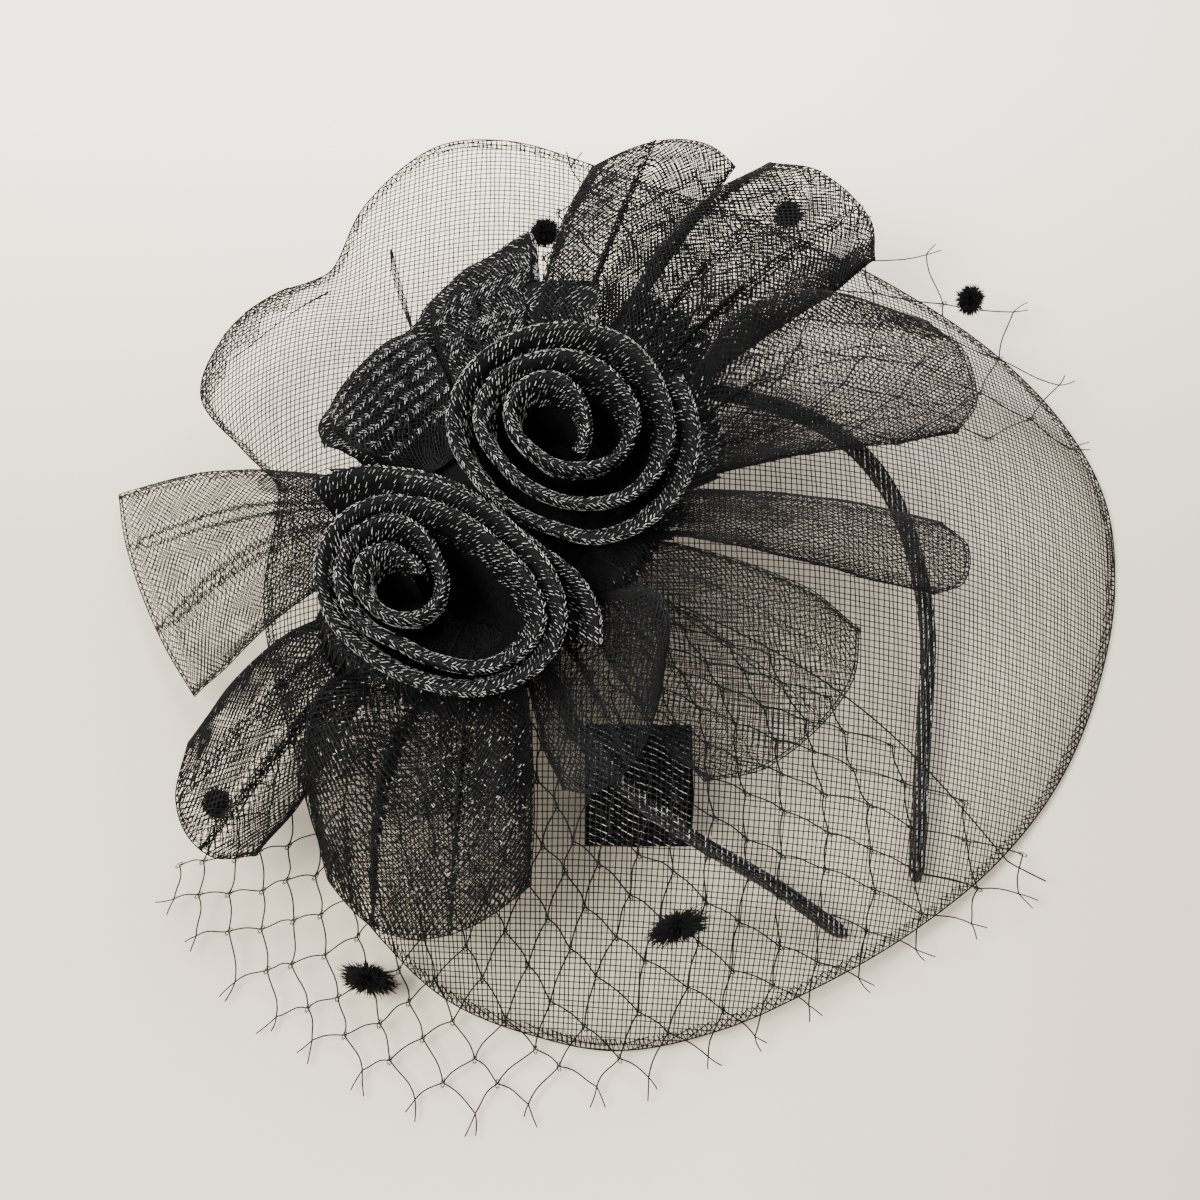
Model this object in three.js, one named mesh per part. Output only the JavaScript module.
// A flower headband: a wide brim of open net with a lobe at the back left, two rolled roses in a ring of
// folded net petals, a coarse veil with six tufts, and the nearly closed headband that carries them,
// resting on a small display block. Millimetres, +Z up. While it is worked out, the origin is at the foot
// of the block's front face; at the end it moves to the middle of the whole part's footprint.
import * as THREE from 'three';
import { mergeVertices } from 'three/addons/utils/BufferGeometryUtils.js';

// Walls and clearances
const clothWall = 1.1; // a layer of net, as a wall
const stiffWall = 2.6; // the flower's felt pad
const seatGap = 0.3; // between pieces that touch
const foldGap = 0.6; // between the two layers of a petal where it is sewn down

// Display block; its height follows the band that rests on it
const blockWidth = 26.5;
const blockDepth = 22.5;

// Headband: nearly closed, resting on the block's front edge and on its own two ends
const bandAcross = 101; // widest, in plan
const bandAlong = 133; // front to back, in plan
const bandRise = 42.5; // its centre line's highest point over its ends
const bandHang = 0.48; // of the band's width: how far it hangs below its centre line at the block
const restAcross = 0.27; // where it crosses the block's front edge, from the edge's middle
const restAlong = -0.9; // and from that edge to the back
const bandDeep = 8; // the band's width, across its own plane
const bandThick = 2.8;
const bandLean = new THREE.Vector3(0.25, -0.28, 1).normalize(); // square to the band's plane
const bandStations = 42;

// The flower's middle, over the back of the band
const flowerX = -32;
const flowerY = 60;

// Brim
const crownOver = 11.5; // the net's centre under the flower, over the band's highest point
const crownHeight = bandRise + crownOver; // and over the table, less the band's foot
const brimReach = 160; // from the flower's middle to the far edge
const crownPower = 3; // how late the crown falls away to the edge
const rippleHeight = 4.5; // of the lobe's soft waves
const rippleCount = 9; // waves in a full turn

// Pads: an oval lying along the line through both roses
const padLong = 42;
const padShort = 25;
const padTurn = 47; // degrees
const clipSeat = 0.4; // of the band's width: how far its top edge stands over its centre line there
const bossShare = 0.58; // of the pad, raised between the petals' roots to carry the roses

// Petals
const petalReach = 60; // the length that the petal table's shares follow
const petalRoot = 9; // width of a gathered root
const rootRing = 0.86; // of the pad's outline
const sideCurl = 1; // how far a side that bulges over its neighbour rises, as a share of the bulge
const padMargin = 1.3; // petals stay level to this far past the pad's outline

// Roses
const roseReach = 36; // from the first roll to the widest rim
const rollWall = 2.4; // a rolled double strip
const rollLip = 3.6; // its soft folded rim
const roseTaper = 0.62; // the foot's size, as a share of the rim's
const roseHigh = 24; // from the seat to the middle of the rim
const leanShift = 0.5; // how much of the lean the feet follow
const rollStep = 20; // degrees between a roll's sections

// Veil
const strandWide = 1.3;
const veilSpring = 1.8; // how far the veil stands off the brim at its edge
const edgeDrop = 2; // how steeply petals may hang past the brim's edge
const veilStart = 0.27; // of the brim's reach, where the net comes out from under the petals
const tuftRadius = 4.2;

// Headband, from the left foot of the loop over the block to the right foot:
// across and along from the front end, and rise over the ends, as shares of the three band sizes
const bandRows = [
  { across: 0.77, along: 0.0, rise: 0.0 },
  { across: 0.59, along: 0.08, rise: 0.17 },
  { across: 0.4, along: 0.135, rise: 0.42 },
  { across: 0.27, along: 0.185, rise: 0.577 },
  { across: 0.15, along: 0.27, rise: 0.72 },
  { across: 0.06, along: 0.39, rise: 0.8 },
  { across: 0.01, along: 0.53, rise: 0.91 },
  { across: 0.0, along: 0.69, rise: 0.97 },
  { across: 0.06, along: 0.84, rise: 1.0 },
  { across: 0.17, along: 0.95, rise: 1.0 },
  { across: 0.33, along: 1.0, rise: 0.97 },
  { across: 0.54, along: 1.0, rise: 0.89 },
  { across: 0.73, along: 0.97, rise: 0.75 },
  { across: 0.86, along: 0.915, rise: 0.58 },
  { across: 0.95, along: 0.81, rise: 0.42 },
  { across: 1.0, along: 0.62, rise: 0.24 },
  { across: 0.985, along: 0.43, rise: 0.12 },
  { across: 0.965, along: 0.27, rise: 0.05 },
  { across: 0.945, along: 0.11, rise: 0.0 },
];
const restRow = bandRows[3]; // where the band crosses the block's front edge
const bandLeft = restAcross - restRow.across * bandAcross; // the loop's left side
const bandFront = restAlong - restRow.along * bandAlong; // the front end
const bandFoot = 0.39; // the share of the band's depth that its centre line lies over the table
const blockHeight = bandDeep * (bandFoot - bandHang) + bandRise * restRow.rise - seatGap;

// Brim's edge by bearing from the flower, anticlockwise from +X: reach and rise are shares of
// brimReach and crownHeight, wave is how much of the ripple shows there
const brimRows = [
  { bearing: -170, reach: 0.385, rise: 0.66, wave: 0 },
  { bearing: -140, reach: 0.43, rise: 0.5, wave: 0 },
  { bearing: -120, reach: 0.53, rise: 0.27, wave: 0 },
  { bearing: -108, reach: 0.588, rise: 0.13, wave: 0 },
  { bearing: -98, reach: 0.643, rise: 0.05, wave: 0 },
  { bearing: -87, reach: 0.69, rise: 0.028, wave: 0 },
  { bearing: -77, reach: 0.733, rise: 0.028, wave: 0 },
  { bearing: -65, reach: 0.756, rise: 0.05, wave: 0 },
  { bearing: -53, reach: 0.779, rise: 0.1, wave: 0 },
  { bearing: -40, reach: 0.817, rise: 0.1, wave: 0 },
  { bearing: -28, reach: 0.862, rise: 0.06, wave: 0 },
  { bearing: -17, reach: 0.905, rise: 0.03, wave: 0 },
  { bearing: -5, reach: 0.949, rise: 0.022, wave: 0 },
  { bearing: 5, reach: 0.988, rise: 0.022, wave: 0 },
  { bearing: 15, reach: 1.017, rise: 0.022, wave: 0 },
  { bearing: 24, reach: 1.007, rise: 0.056, wave: 0 },
  { bearing: 33, reach: 0.96, rise: 0.185, wave: 0 },
  { bearing: 43, reach: 0.88, rise: 0.4, wave: 0 },
  { bearing: 54, reach: 0.81, rise: 0.59, wave: 0 },
  { bearing: 66, reach: 0.775, rise: 0.7, wave: 0.2 },
  { bearing: 81, reach: 0.773, rise: 0.78, wave: 0.5 },
  { bearing: 92, reach: 0.79, rise: 0.81, wave: 0.8 },
  { bearing: 101, reach: 0.8, rise: 0.81, wave: 1 },
  { bearing: 110, reach: 0.745, rise: 0.77, wave: 1 },
  { bearing: 118, reach: 0.655, rise: 0.66, wave: 1 },
  { bearing: 127, reach: 0.668, rise: 0.54, wave: 1 },
  { bearing: 136, reach: 0.675, rise: 0.47, wave: 0.9 },
  { bearing: 144, reach: 0.64, rise: 0.45, wave: 0.7 },
  { bearing: 151, reach: 0.5, rise: 0.6, wave: 0.4 },
  { bearing: 160, reach: 0.39, rise: 0.7, wave: 0.1 },
];

// Petals: root is the bearing where the petal is sewn down, aim and reach place the two corners of its
// folded tip from there, lift is a corner's height; reach, crown, belly and bow are shares of petalReach,
// lift a share of crownHeight. crown rounds the tip, belly parts the layers, bow arches the petal,
// sideR and sideL bulge its sides, fan is how late it widens, and pleats counts its folds
const petalRows = [
  { name: 'petal_left', root: 180, aimR: 152, reachR: 1.5, liftR: 0.055, aimL: 204, reachL: 0.97,
    liftL: 0.17, crown: 0.06, belly: 0.09, bow: 0.23, sideR: -0.06, sideL: 0.17, fan: 0.75, pleats: 2 },
  { name: 'petal_lower_left', root: 222.5, aimR: -155, reachR: 0.93, liftR: 0.66, aimL: -121,
    reachL: 1.02, liftL: 0.47, crown: 0.18, belly: 0.08, bow: 0.02, sideR: 0.04, sideL: 0.0, fan: 0.7,
    pleats: 2 },
  { name: 'petal_front', root: 255, aimR: -125, reachR: 1.0, liftR: 0.44, aimL: -75, reachL: 0.98,
    liftL: 0.71, crown: 0.24, belly: 0.11, bow: 0.09, sideR: 0.22, sideL: 0.0, fan: 0.45, pleats: 3 },
  { name: 'petal_front_fold', root: -75, aimR: -83, reachR: 0.86, liftR: 1.07, aimL: -42, reachL: 0.68,
    liftL: 1.15, crown: 0.12, belly: 0.03, bow: 0.02, sideR: 0.0, sideL: 0.22, fan: 0.8, pleats: 1 },
  { name: 'petal_right_low', root: -26, aimR: -67, reachR: 1.06, liftR: 0.8, aimL: -10, reachL: 1.16,
    liftL: 0.84, crown: 0.14, belly: 0.03, bow: 0, sideR: 0.0, sideL: 0.0, fan: 0.6, pleats: 3 },
  { name: 'petal_right_middle', root: 4, aimR: -14, reachR: 1.35, liftR: 0.9, aimL: 2, reachL: 1.37,
    liftL: 0.92, crown: 0.08, belly: 0.07, bow: 0.12, sideR: 0.0, sideL: 0.0, fan: 0.8, pleats: 1 },
  { name: 'petal_right_wide', root: 25, aimR: 12, reachR: 1.46, liftR: 0.82, aimL: 35, reachL: 1.64,
    liftL: 0.76, crown: 0.09, belly: 0.08, bow: 0.12, sideR: 0.0, sideL: 0.2, fan: 0.55, pleats: 2 },
  { name: 'petal_back_right', root: 50, aimR: 39, reachR: 1.6, liftR: 0.8, aimL: 63, reachL: 1.6,
    liftL: 1.05, crown: 0.12, belly: 0.08, bow: 0.1, sideR: 0.0, sideL: 0.06, fan: 0.6, pleats: 2 },
  { name: 'petal_back', root: 73, aimR: 59, reachR: 1.6, liftR: 0.98, aimL: 82, reachL: 1.28,
    liftL: 1.12, crown: 0.16, belly: 0.07, bow: 0.1, sideR: 0.0, sideL: 0.04, fan: 0.8, pleats: 1 },
  { name: 'petal_back_tip', root: 100, aimR: 78, reachR: 0.92, liftR: 1.22, aimL: 118, reachL: 0.62,
    liftL: 1.26, crown: 0.02, belly: 0.06, bow: 0.06, sideR: 0.0, sideL: 0.02, fan: 1, pleats: 1 },
  { name: 'petal_upper_left', root: 134, aimR: 103, reachR: 0.61, liftR: 1.24, aimL: 162, reachL: 0.53,
    liftL: 1.18, crown: 0.04, belly: 0.08, bow: 0.05, sideR: 0.0, sideL: 0.08, fan: 0.5, pleats: 2 },
];

// Roses: rim rows give the rolled strip's bearing in degrees, over several turns, and its distance from
// the first roll as a share of roseReach. x, y is the first roll's middle from the flower's, and hub the
// point that the walls taper towards from the first roll, both as shares of roseReach; rim is its height
// over the seat as a share of roseHigh, and lean how far the flower tips to the front
const roseRows = [
  { name: 'rose_1', x: 0.2778, y: 0.3389, rim: 1.0, lean: 15, hubX: 0.12, hubY: -0.11, roll: [
    [-53, 0.32], [9, 0.25], [90, 0.29], [163, 0.265], [243, 0.25], [297, 0.4], [329, 0.54],
    [360, 0.59], [390, 0.53], [427, 0.47], [465, 0.425], [510, 0.45], [545, 0.46], [582, 0.44],
    [618, 0.51], [647, 0.63], [677, 0.78], [704, 0.835], [732, 0.79], [762, 0.75], [797, 0.65],
    [839, 0.6], [872, 0.615], [905, 0.645], [945, 0.64], [990, 0.77], [1012, 0.92], [1038, 1.0],
    [1064, 1.01], [1099, 0.91],
  ] },
  { name: 'rose_2', x: -0.6806, y: -0.8111, rim: 0.88, lean: 18, hubX: 0.26, hubY: -0.14, roll: [
    [-10, 0.15], [65, 0.128], [122, 0.195], [160, 0.235], [200, 0.25], [235, 0.27], [272, 0.305],
    [308, 0.335], [349, 0.305], [385, 0.272], [430, 0.322], [465, 0.365], [505, 0.372],
    [550, 0.375], [590, 0.4], [632, 0.475], [656, 0.67], [672, 0.86], [688, 0.98], [702, 0.99],
    [716, 0.87], [734, 0.69], [762, 0.55], [796, 0.485], [840, 0.495], [890, 0.505], [930, 0.515],
    [971, 0.575], [1004, 0.76], [1027, 0.98], [1047, 1.12], [1062, 1.13], [1077, 1.02],
    [1097, 0.83], [1130, 0.665], [1168, 0.605],
  ] },
  { name: 'rose_wrap', x: -0.6806, y: -0.8111, rim: 0.52, lean: 18, hubX: 0.26, hubY: -0.14, roll: [
    [-17, 1.36], [-8, 1.3], [2, 1.17], [14, 0.96], [30, 0.82], [56, 0.76], [90, 0.76],
    [112, 0.83], [131, 0.88],
  ] },
];

// Veil sheets: from and to are bearings, cells and rings count the diamonds, and the edge rows give how
// far it hangs out, as a share of brimReach, and its height there, as a share of crownHeight
const veilSheets = [
  { name: 'veil_front', from: -140, to: -27, cells: 11, rings: 8, edge: [
    { bearing: -140, reach: 0.68, rise: 0.11 },
    { bearing: -123, reach: 0.72, rise: 0.045 },
    { bearing: -109, reach: 0.755, rise: 0.04 },
    { bearing: -95, reach: 0.8, rise: 0.04 },
    { bearing: -84, reach: 0.78, rise: 0.05 },
    { bearing: -70, reach: 0.775, rise: 0.075 },
    { bearing: -57, reach: 0.785, rise: 0.12 },
    { bearing: -43, reach: 0.82, rise: 0.13 },
    { bearing: -34, reach: 0.88, rise: 0.1 },
    { bearing: -25, reach: 0.95, rise: 0.075 },
  ] },
  { name: 'veil_back', from: 18, to: 84, cells: 5, rings: 6, edge: [
    { bearing: 15, reach: 0.93, rise: 0.3 },
    { bearing: 25, reach: 1.0, rise: 0.2 },
    { bearing: 34, reach: 1.02, rise: 0.24 },
    { bearing: 45, reach: 0.93, rise: 0.5 },
    { bearing: 60, reach: 0.84, rise: 0.72 },
    { bearing: 84, reach: 0.72, rise: 0.86 },
  ] },
];

// Tufts on the veil: bearing from the flower, reach as a share of brimReach, a stretch along turn, and
// how far the tuft settles between the strands, as a share of tuftRadius
const tuftRows = [
  { bearing: 85, reach: 0.56, long: 1.1, turn: 20, sink: 0.98 },
  { bearing: 55.5, reach: 0.79, long: 1.2, turn: 0, sink: 0.02 },
  { bearing: 37, reach: 0.945, long: 1.25, turn: 70, sink: 0.1 },
  { bearing: -66.5, reach: 0.635, long: 1.65, turn: 20, sink: 0.05 },
  { bearing: -108, reach: 0.64, long: 1.5, turn: -15, sink: 0.6 },
  { bearing: -140.8, reach: 0.56, long: 1.1, turn: 80, sink: 0.5 },
];

const radians = THREE.MathUtils.degToRad;
const mix = THREE.MathUtils.lerp;
const smooth = THREE.MathUtils.smoothstep;

// Smooth value of a column between rows; with a period, the rows join up round the turn
function column(rows, key, name, at, period = 0) {
  const n = rows.length;
  const knot = (i) => {
    if (!period) return rows[THREE.MathUtils.clamp(i, 0, n - 1)][key];
    return rows[((i % n) + n) % n][key] + period * Math.floor(i / n);
  };
  const value = (i) => rows[period ? ((i % n) + n) % n : THREE.MathUtils.clamp(i, 0, n - 1)][name];
  let turn = at;
  if (period) turn = at - period * Math.floor((at - rows[0][key]) / period);
  let i = 0;
  const last = period ? n - 1 : n - 2;
  while (i < last && turn >= knot(i + 1)) i += 1;
  const span = knot(i + 1) - knot(i);
  const t = THREE.MathUtils.clamp((turn - knot(i)) / span, 0, 1);
  const slope = (j) => (value(j + 1) - value(j - 1)) / Math.max(knot(j + 1) - knot(j - 1), 1e-9);
  const m0 = slope(i) * span;
  const m1 = slope(i + 1) * span;
  const t2 = t * t;
  const t3 = t2 * t;
  return (2 * t3 - 3 * t2 + 1) * value(i) + (t3 - 2 * t2 + t) * m0
    + (3 * t2 - 2 * t3) * value(i + 1) + (t3 - t2) * m1;
}

// A closed mesh from corner points and triangles; slivers that merge away are dropped
function closedGeometry(points, faces) {
  const flat = new Float32Array(points.length * 3);
  points.forEach((p, i) => p.toArray(flat, i * 3));
  const raw = new THREE.BufferGeometry();
  raw.setAttribute('position', new THREE.BufferAttribute(flat, 3));
  raw.setIndex(faces.flat());
  const merged = mergeVertices(raw, 1e-4);
  const old = merged.getIndex().array;
  const kept = [];
  for (let i = 0; i < old.length; i += 3) {
    const [a, b, c] = [old[i], old[i + 1], old[i + 2]];
    if (a !== b && b !== c && a !== c) kept.push(a, b, c);
  }
  merged.setIndex(kept);
  if (signedVolume(merged) < 0) {
    for (let i = 0; i < kept.length; i += 3) [kept[i], kept[i + 1]] = [kept[i + 1], kept[i]];
    merged.setIndex(kept);
  }
  merged.computeVertexNormals();
  return merged;
}

function signedVolume(geometry) {
  const at = geometry.getAttribute('position');
  const index = geometry.getIndex().array;
  const [a, b, c] = [new THREE.Vector3(), new THREE.Vector3(), new THREE.Vector3()];
  let sum = 0;
  for (let i = 0; i < index.length; i += 3) {
    a.fromBufferAttribute(at, index[i]);
    b.fromBufferAttribute(at, index[i + 1]);
    c.fromBufferAttribute(at, index[i + 2]);
    sum += a.dot(b.cross(c)) / 6;
  }
  return sum;
}

// Unit normals of a grid of points; a closed grid joins its last column to its first
function gridNormals(grid, closed) {
  const rows = grid.length;
  const columns = grid[0].length;
  return grid.map((row, i) => row.map((point, j) => {
    const up = grid[Math.min(i + 1, rows - 1)][j].clone().sub(grid[Math.max(i - 1, 0)][j]);
    const right = closed ? row[(j + 1) % columns] : row[Math.min(j + 1, columns - 1)];
    const left = closed ? row[(j - 1 + columns) % columns] : row[Math.max(j - 1, 0)];
    const normal = up.cross(right.clone().sub(left));
    return normal.lengthSq() > 1e-12 ? normal.normalize() : new THREE.Vector3(0, 0, -1);
  }));
}

// A wall of even thickness about a grid of points
function wallGeometry(grid, wall, closed = false) {
  const rows = grid.length;
  const columns = grid[0].length;
  const normals = gridNormals(grid, closed);
  const points = [];
  for (const side of [0.5, -0.5]) {
    grid.forEach((row, i) => row.forEach((point, j) => {
      points.push(point.clone().addScaledVector(normals[i][j], side * wall));
    }));
  }
  const at = (side, i, j) => side * rows * columns + i * columns + (closed ? j % columns : j);
  const faces = [];
  const quad = (a, b, c, d) => faces.push([a, b, c], [a, c, d]);
  const across = closed ? columns : columns - 1;
  for (let i = 0; i < rows - 1; i += 1) {
    for (let j = 0; j < across; j += 1) {
      quad(at(0, i, j), at(0, i + 1, j), at(0, i + 1, j + 1), at(0, i, j + 1));
      quad(at(1, i, j), at(1, i, j + 1), at(1, i + 1, j + 1), at(1, i + 1, j));
    }
  }
  for (let j = 0; j < across; j += 1) {
    quad(at(0, 0, j), at(0, 0, j + 1), at(1, 0, j + 1), at(1, 0, j));
    quad(at(0, rows - 1, j), at(1, rows - 1, j), at(1, rows - 1, j + 1), at(0, rows - 1, j + 1));
  }
  if (!closed) {
    for (let i = 0; i < rows - 1; i += 1) {
      quad(at(0, i, 0), at(1, i, 0), at(1, i + 1, 0), at(0, i + 1, 0));
      const j = columns - 1;
      quad(at(0, i, j), at(0, i + 1, j), at(1, i + 1, j), at(1, i, j));
    }
  }
  return closedGeometry(points, faces);
}

// A tube of closed sections, one after another, with both ends capped
function loftGeometry(sections) {
  const count = sections[0].length;
  const points = sections.flat();
  const faces = [];
  for (let i = 0; i < sections.length - 1; i += 1) {
    for (let j = 0; j < count; j += 1) {
      const k = (j + 1) % count;
      const a = i * count;
      const b = a + count;
      faces.push([a + j, a + k, b + k], [a + j, b + k, b + j]);
    }
  }
  for (const end of [0, sections.length - 1]) {
    const middle = new THREE.Vector3();
    sections[end].forEach((p) => middle.addScaledVector(p, 1 / count));
    points.push(middle);
    for (let j = 0; j < count; j += 1) {
      const face = [points.length - 1, end * count + j, end * count + ((j + 1) % count)];
      faces.push(end === 0 ? face.reverse() : face);
    }
  }
  return closedGeometry(points, faces);
}

// The brim's net: share 0 is under the flower, 1 at the edge
function brimPoint(share, bearing) {
  const reach = brimReach * column(brimRows, 'bearing', 'reach', bearing, 360) * share;
  const edge = crownHeight * column(brimRows, 'bearing', 'rise', bearing, 360);
  const wave = rippleHeight * column(brimRows, 'bearing', 'wave', bearing, 360);
  const ripple = wave * Math.sin(radians(bearing) * rippleCount) * share * share;
  const height = mix(crownHeight, edge, share ** crownPower) + ripple;
  const angle = radians(bearing);
  return new THREE.Vector3(flowerX + reach * Math.cos(angle), flowerY + reach * Math.sin(angle), height);
}

function brimNormal(share, bearing) {
  const out = brimPoint(share + 0.01, bearing).sub(brimPoint(share - 0.01, bearing));
  const round = brimPoint(share, bearing + 0.5).sub(brimPoint(share, bearing - 0.5));
  return out.cross(round).normalize();
}

// Height of the brim's middle surface over a point of the table; past the edge, of the edge there
function brimHeight(x, y) {
  const bearing = THREE.MathUtils.radToDeg(Math.atan2(y - flowerY, x - flowerX));
  const edge = brimReach * column(brimRows, 'bearing', 'reach', bearing, 360);
  return brimPoint(Math.min(Math.hypot(x - flowerX, y - flowerY) / edge, 1), bearing).z;
}

// How far a point lies below the least height that clears the pad, or the brim with the veil on it;
// past the brim's edge that height soon falls away
function shortfall(point) {
  const x = point.x - flowerX;
  const y = point.y - flowerY;
  const bearing = THREE.MathUtils.radToDeg(Math.atan2(y, x));
  const share = Math.hypot(x, y) / (brimReach * column(brimRows, 'bearing', 'reach', bearing, 360));
  const steep = brimNormal(THREE.MathUtils.clamp(share, 0.05, 0.98), bearing).z;
  const layers = 2 * clothWall + 2 * seatGap + veilSpring * Math.min(share, 1);
  const clear = brimHeight(point.x, point.y) + layers / Math.abs(steep);
  const past = Math.max(share - 1, 0) * brimReach * edgeDrop;
  const onPad = Math.hypot(x, y) < padMargin * padRadius(bearing) ? padTop + seatGap + clothWall / 2 : 0;
  return Math.max(clear - past - point.z, onPad - point.z, 0);
}

function brim() {
  const rings = 8;
  const steps = 44;
  const grid = [];
  for (let i = 0; i <= rings; i += 1) {
    const share = (i / rings) ** 0.8;
    grid.push(Array.from({ length: steps }, (_, j) => brimPoint(share, (360 * j) / steps)));
  }
  return wallGeometry(grid, clothWall, true);
}

function displayBlock() {
  const geometry = new THREE.BoxGeometry(blockWidth, blockDepth, blockHeight);
  geometry.translate(0, blockDepth / 2, blockHeight / 2);
  geometry.deleteAttribute('normal');
  geometry.deleteAttribute('uv');
  return mergeVertices(geometry, 1e-4);
}

function headband() {
  const foot = bandFoot * bandDeep;
  const route = new THREE.CatmullRomCurve3(bandRows.map((row) => new THREE.Vector3(
    bandLeft + row.across * bandAcross, bandFront + row.along * bandAlong, foot + row.rise * bandRise)));
  const corners = 8;
  const roundEnd = bandDeep / 2 / route.getLength();
  const sections = [];
  for (let i = 0; i <= bandStations; i += 1) {
    const t = i / bandStations;
    const fromEnd = Math.min(t, 1 - t, roundEnd) / roundEnd;
    const size = Math.sqrt(Math.max(1 - (1 - fromEnd) ** 2, 0.12));
    const middle = route.getPointAt(t);
    const side = route.getTangentAt(t).cross(bandLean).normalize();
    sections.push(Array.from({ length: corners }, (_, j) => {
      const angle = (2 * Math.PI * j) / corners;
      const bulge = (value) => Math.sign(value) * Math.abs(value) ** 0.6;
      return middle.clone()
        .addScaledVector(bandLean, (bulge(Math.sin(angle)) * bandDeep * size) / 2)
        .addScaledVector(side, (bulge(Math.cos(angle)) * bandThick) / 2);
    }));
  }
  return loftGeometry(sections);
}

// The pads' oval outline at a bearing
function padRadius(bearing) {
  const angle = radians(bearing - padTurn);
  return 1 / Math.hypot(Math.cos(angle) / padLong, Math.sin(angle) / padShort);
}

function ovalRing(share, height, steps = 24) {
  return Array.from({ length: steps }, (_, j) => {
    const bearing = (360 * j) / steps;
    const radius = padRadius(bearing) * share;
    const angle = radians(bearing);
    return new THREE.Vector3(flowerX + radius * Math.cos(angle), flowerY + radius * Math.sin(angle), height);
  });
}

const crownTop = crownHeight + clothWall / 2;
const padFoot = crownTop + seatGap;
const padTop = padFoot + stiffWall;
const rootMiddle = padTop + seatGap + clothWall + foldGap / 2;
const bossTop = padTop + 2 * (seatGap + clothWall + foldGap) + seatGap;
const roseSeat = bossTop + seatGap;

function flowerBase() {
  const bossEdge = bossShare + 0.04;
  return loftGeometry([ovalRing(0.97, padFoot), ovalRing(1, padFoot + 0.6), ovalRing(1, padTop - 0.6),
    ovalRing(0.97, padTop), ovalRing(bossEdge, padTop), ovalRing(bossShare, bossTop)]);
}

function clipBase() {
  const bottom = bandFoot * bandDeep + bandRise + bandDeep * clipSeat + seatGap;
  const top = ovalRing(0.42, 0);
  for (const corner of top) corner.z = brimHeight(corner.x, corner.y) - clothWall / 2 - 1.5 * seatGap;
  return loftGeometry([ovalRing(0.42, bottom), top]);
}

// A petal's middle surface: along runs 0 to 1 from root to tip, across -1 to 1 from right to left
function petalPoint(row, along, across) {
  const ring = padRadius(row.root) * rootRing;
  const rootAngle = radians(row.root);
  const root = new THREE.Vector3(flowerX + ring * Math.cos(rootAngle), flowerY + ring * Math.sin(rootAngle),
    rootMiddle);
  const corner = (aim, reach, lift) => new THREE.Vector3(
    root.x + petalReach * reach * Math.cos(radians(aim)),
    root.y + petalReach * reach * Math.sin(radians(aim)), crownHeight * lift);
  const right = corner(row.aimR, row.reachR, row.liftR);
  const left = corner(row.aimL, row.reachL, row.liftL);
  const middle = right.clone().add(left).multiplyScalar(0.5);
  const outward = middle.clone().sub(root).setZ(0).normalize();
  const sideways = new THREE.Vector3(-outward.y, outward.x, 0);
  const tip = right.clone().lerp(left, (across + 1) / 2)
    .addScaledVector(outward, petalReach * row.crown * (1 - across * across));
  const width = along ** row.fan;
  const point = root.clone().lerp(middle, along)
    .add(tip.sub(middle).multiplyScalar(width))
    .addScaledVector(sideways, (petalRoot / 2) * across * (1 - width));
  const swell = Math.sin(Math.PI * along) * smooth(along, 0, 0.45);
  const bulge = petalReach * (across > 0 ? row.sideL : row.sideR) * swell;
  point.addScaledVector(sideways, bulge * across);
  point.z += Math.max(bulge, 0) * Math.abs(across) * sideCurl;
  const pleat = Math.cos(Math.PI * row.pleats * across) * Math.sin(Math.PI * along) * petalReach * 0.018;
  const sewn = clothWall / 2 + foldGap / 2;
  const open = petalReach * row.belly * 0.5 * smooth(along, 0.12, 0.6) * (1 - 0.5 * along);
  const half = sewn + open;
  point.z += petalReach * row.bow * Math.sin(Math.PI * along) + pleat * smooth(along, 0.1, 0.5);
  const under = point.clone().setZ(point.z - half);
  point.z += shortfall(under);
  return { point, outward, half };
}

function petal(row) {
  const steps = 5;
  const turns = 3;
  const across = 6;
  const stations = [];
  const step = (i) => (i / steps) ** 1.3;
  for (let i = 0; i <= steps; i += 1) stations.push([step(i), -1, 0]);
  for (let i = 1; i < turns; i += 1) {
    const turn = (Math.PI * i) / turns;
    stations.push([1, -Math.cos(turn), turn]);
  }
  for (let i = steps; i >= 0; i -= 1) stations.push([step(i), 1, Math.PI]);
  const grid = stations.map(([along, layer, turn]) => Array.from({ length: across + 1 }, (_, j) => {
    const made = petalPoint(row, along, (2 * j) / across - 1);
    const point = made.point;
    point.z += made.half * layer;
    return point.addScaledVector(made.outward, made.half * Math.sin(turn));
  }));
  return wallGeometry(grid, clothWall);
}

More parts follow.
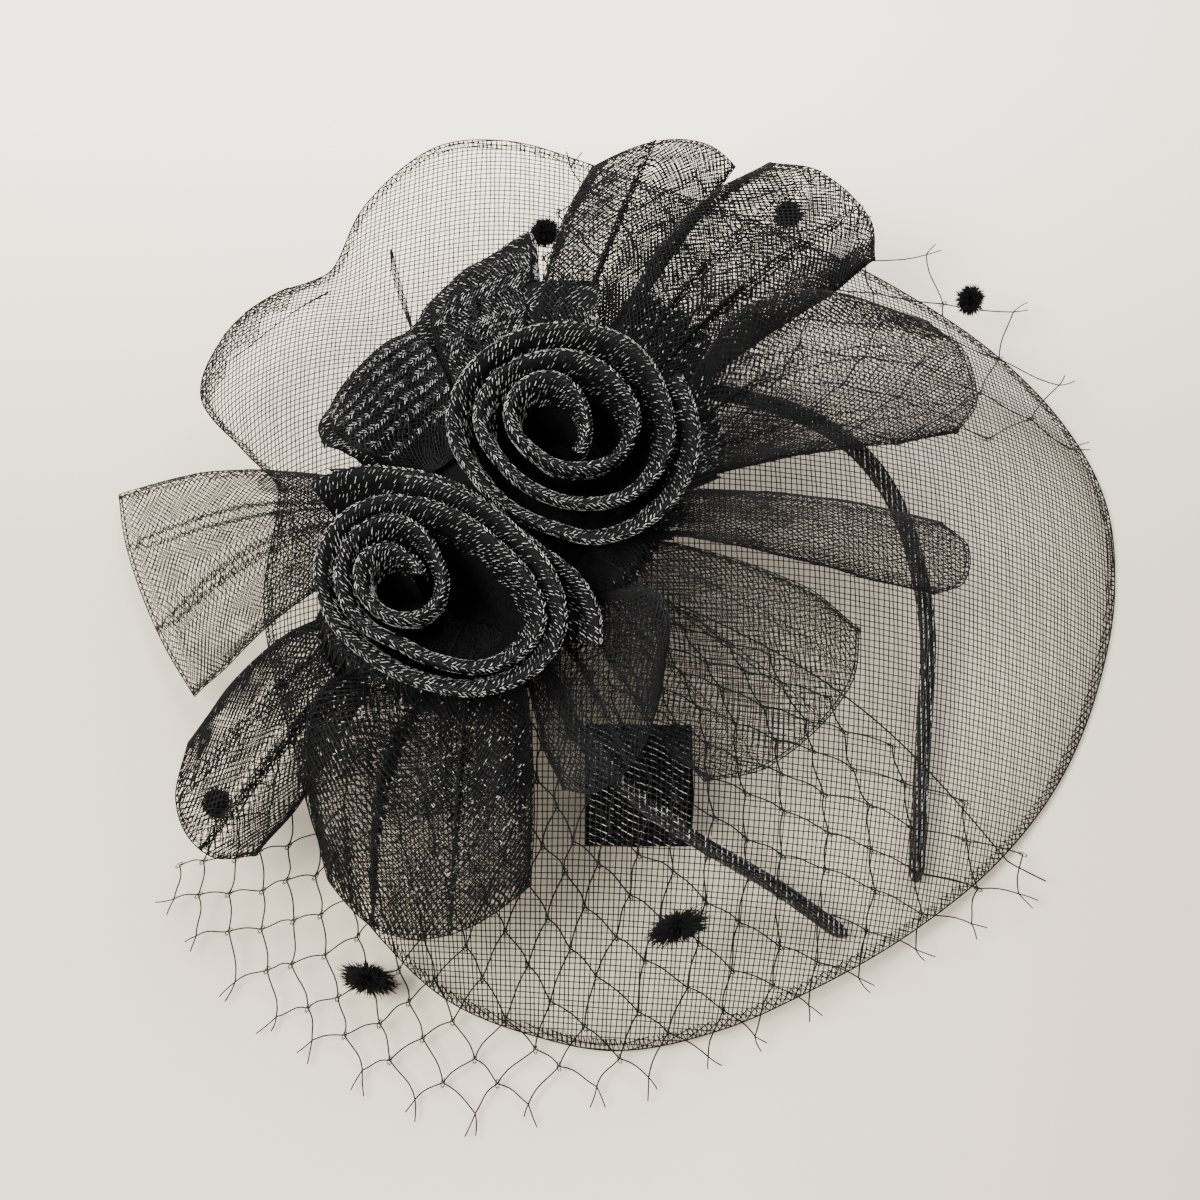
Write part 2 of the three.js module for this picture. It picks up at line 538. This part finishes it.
// A rolled strip: its rim follows the roll on a leaning plane, and its foot stands on the seat
function rolledStrip(row) {
  const rows = row.roll.map(([bearing, reach]) => ({ bearing, reach }));
  const lean = radians(row.lean);
  const rimHeight = roseHigh * row.rim;
  const hub = new THREE.Vector2(row.hubX, row.hubY).multiplyScalar(roseReach);
  const first = rows[0].bearing;
  const last = rows[rows.length - 1].bearing;
  const stepCount = Math.ceil((last - first) / rollStep);
  const flat = Array.from({ length: stepCount + 1 }, (_, i) => {
    const bearing = mix(first, last, i / stepCount);
    const reach = roseReach * column(rows, 'bearing', 'reach', bearing);
    return new THREE.Vector2(reach * Math.cos(radians(bearing)), reach * Math.sin(radians(bearing)));
  });
  const place = (offset, level) => {
    const shrink = mix(roseTaper, 1, level);
    const x = hub.x + (offset.x - hub.x) * shrink;
    const y = hub.y + (offset.y - hub.y) * shrink;
    const top = rimHeight + y * Math.sin(lean);
    const back = (roseHigh - level * rimHeight) * Math.tan(lean) * leanShift;
    return new THREE.Vector3(flowerX + roseReach * row.x + x,
      flowerY + roseReach * row.y + y * mix(1, Math.cos(lean), level) + back, roseSeat + level * top);
  };
  const half = rollWall / 2;
  const lip = rollLip / 2;
  const profile = [[-half, 0], [-lip, 0.84], [-lip * 0.55, 1], [lip * 0.55, 1], [lip, 0.84], [half, 0]];
  const sections = flat.map((point, i) => {
    const ahead = flat[Math.min(i + 1, stepCount)].clone().sub(flat[Math.max(i - 1, 0)]).normalize();
    const out = new THREE.Vector2(ahead.y, -ahead.x);
    return profile.map(([side, level]) => place(point.clone().addScaledVector(out, side), level));
  });
  return loftGeometry(sections);
}

// The veil's middle surface: over the brim, a clearance above it, and beyond the brim's edge hanging out
function veilPoint(sheet, share, bearing) {
  const lift = clothWall + seatGap + veilSpring * share;
  const edge = brimReach * column(brimRows, 'bearing', 'reach', bearing, 360);
  const outer = brimReach * column(sheet.edge, 'bearing', 'reach', bearing);
  const reach = mix(brimReach * veilStart, outer, share);
  const over = Math.min(reach / edge, 1);
  const point = brimPoint(over, bearing).addScaledVector(brimNormal(Math.min(over, 0.985), bearing), lift);
  if (reach > edge) {
    const low = crownHeight * column(sheet.edge, 'bearing', 'rise', bearing);
    const beyond = (reach - edge) / Math.max(outer - edge, 1e-6);
    const angle = radians(bearing);
    point.x += (reach - edge) * Math.cos(angle);
    point.y += (reach - edge) * Math.sin(angle);
    point.z = mix(point.z, low, beyond);
  }
  return point;
}

// Diamond net: each cell is a frame of four strands round a hole that goes right through
function veil(sheet) {
  const points = [];
  const faces = [];
  const knots = new Map();
  const turn = (sheet.to - sheet.from) / sheet.cells;
  const knot = (ring, half) => {
    const name = `${ring},${half}`;
    if (!knots.has(name)) {
      const place = veilPoint(sheet, ring / sheet.rings, sheet.from + (half * turn) / 2);
      knots.set(name, points.length);
      points.push(place.clone().setZ(place.z + clothWall / 2), place.clone().setZ(place.z - clothWall / 2));
    }
    return knots.get(name);
  };
  const sides = new Map();
  const side = (a, b) => {
    const back = `${b},${a}`;
    if (sides.has(back)) sides.delete(back);
    else sides.set(`${a},${b}`, [a, b]);
  };
  for (let ring = 0; ring <= sheet.rings - 2; ring += 1) {
    const odd = ring % 2;
    for (let cell = 0; cell < sheet.cells - odd; cell += 1) {
      const half = 2 * cell + 1 + odd;
      const outer = [[0, 0], [1, 1], [2, 0], [1, -1]].map(([out, by]) => knot(ring + out, half + by));
      const middle = new THREE.Vector3();
      outer.forEach((k) => middle.addScaledVector(points[k], 0.25));
      const width = points[outer[0]].distanceTo(points[outer[1]]);
      const inset = Math.min((strandWide * 1.5) / width, 0.4);
      const inner = outer.map((k) => {
        const place = points[k].clone().lerp(middle, inset);
        points.push(place, place.clone().setZ(place.z - clothWall));
        return points.length - 2;
      });
      for (let c = 0; c < 4; c += 1) {
        const d = (c + 1) % 4;
        faces.push([outer[c], outer[d], inner[d]], [outer[c], inner[d], inner[c]]);
        faces.push([outer[d] + 1, outer[c] + 1, inner[d] + 1], [inner[d] + 1, outer[c] + 1, inner[c] + 1]);
        faces.push([inner[c], inner[d], inner[d] + 1], [inner[c], inner[d] + 1, inner[c] + 1]);
        side(outer[c], outer[d]);
      }
    }
  }
  for (const [a, b] of sides.values()) faces.push([b, a, a + 1], [b, a + 1, b + 1]);
  return closedGeometry(points, faces);
}

// A tuft of short fibres: locks stand out from a stretched ball
function tuft(row) {
  const sheet = row.bearing < 0 ? veilSheets[0] : veilSheets[1];
  const outer = brimReach * column(sheet.edge, 'bearing', 'reach', row.bearing);
  const share = (brimReach * (row.reach - veilStart)) / (outer - brimReach * veilStart);
  const place = veilPoint(sheet, share, row.bearing);
  const geometry = new THREE.SphereGeometry(tuftRadius, 10, 6);
  geometry.deleteAttribute('normal');
  geometry.deleteAttribute('uv');
  const ball = mergeVertices(geometry, 1e-4);
  const at = ball.getAttribute('position');
  const point = new THREE.Vector3();
  for (let i = 0; i < at.count; i += 1) {
    point.fromBufferAttribute(at, i);
    const lock = 0.9 + 0.1 * Math.sin(i * 2.4);
    point.multiplyScalar(lock);
    point.x *= row.long;
    at.setXYZ(i, point.x, point.y, point.z);
  }
  ball.rotateZ(radians(row.turn));
  const rest = clothWall / 2 + seatGap + 0.8 + tuftRadius * (1 - row.sink);
  ball.translate(place.x, place.y, place.z + rest);
  const points = Array.from({ length: at.count }, (_, i) => new THREE.Vector3().fromBufferAttribute(at, i));
  const index = Array.from(ball.getIndex().array);
  const faces = Array.from({ length: index.length / 3 }, (_, i) => index.slice(i * 3, i * 3 + 3));
  return closedGeometry(points, faces);
}

const satin = () => new THREE.MeshStandardMaterial({ color: 0x0b0b0d, roughness: 0.38, metalness: 0 });
const net = () => new THREE.MeshStandardMaterial({ color: 0x141416, roughness: 0.45, metalness: 0 });
const felt = () => new THREE.MeshStandardMaterial({ color: 0x0d0d0e, roughness: 0.9, metalness: 0 });
const chenille = () => new THREE.MeshStandardMaterial({ color: 0x070708, roughness: 0.8, metalness: 0 });
const blockPaint = () => new THREE.MeshStandardMaterial({ color: 0x101011, roughness: 0.6, metalness: 0 });

const model = new THREE.Group();

function add(name, geometry, material) {
  const mesh = new THREE.Mesh(geometry, material);
  mesh.name = name;
  model.add(mesh);
}

add('display_block', displayBlock(), blockPaint());
add('headband', headband(), satin());
add('clip_base', clipBase(), felt());
add('brim', brim(), net());
add('flower_base', flowerBase(), felt());
for (const row of petalRows) add(row.name, petal(row), net());
for (const row of roseRows) add(row.name, rolledStrip(row), net());
for (const sheet of veilSheets) add(sheet.name, veil(sheet), net());
tuftRows.forEach((row, i) => add(`tuft_${i + 1}`, tuft(row), chenille()));

// The origin moves to the middle of the footprint, at the surface that the part rests on
const reachBox = new THREE.Box3().setFromObject(model);
const middle = reachBox.getCenter(new THREE.Vector3());
model.position.set(-middle.x, -middle.y, -reachBox.min.z);
model.updateMatrixWorld(true);

export default model;
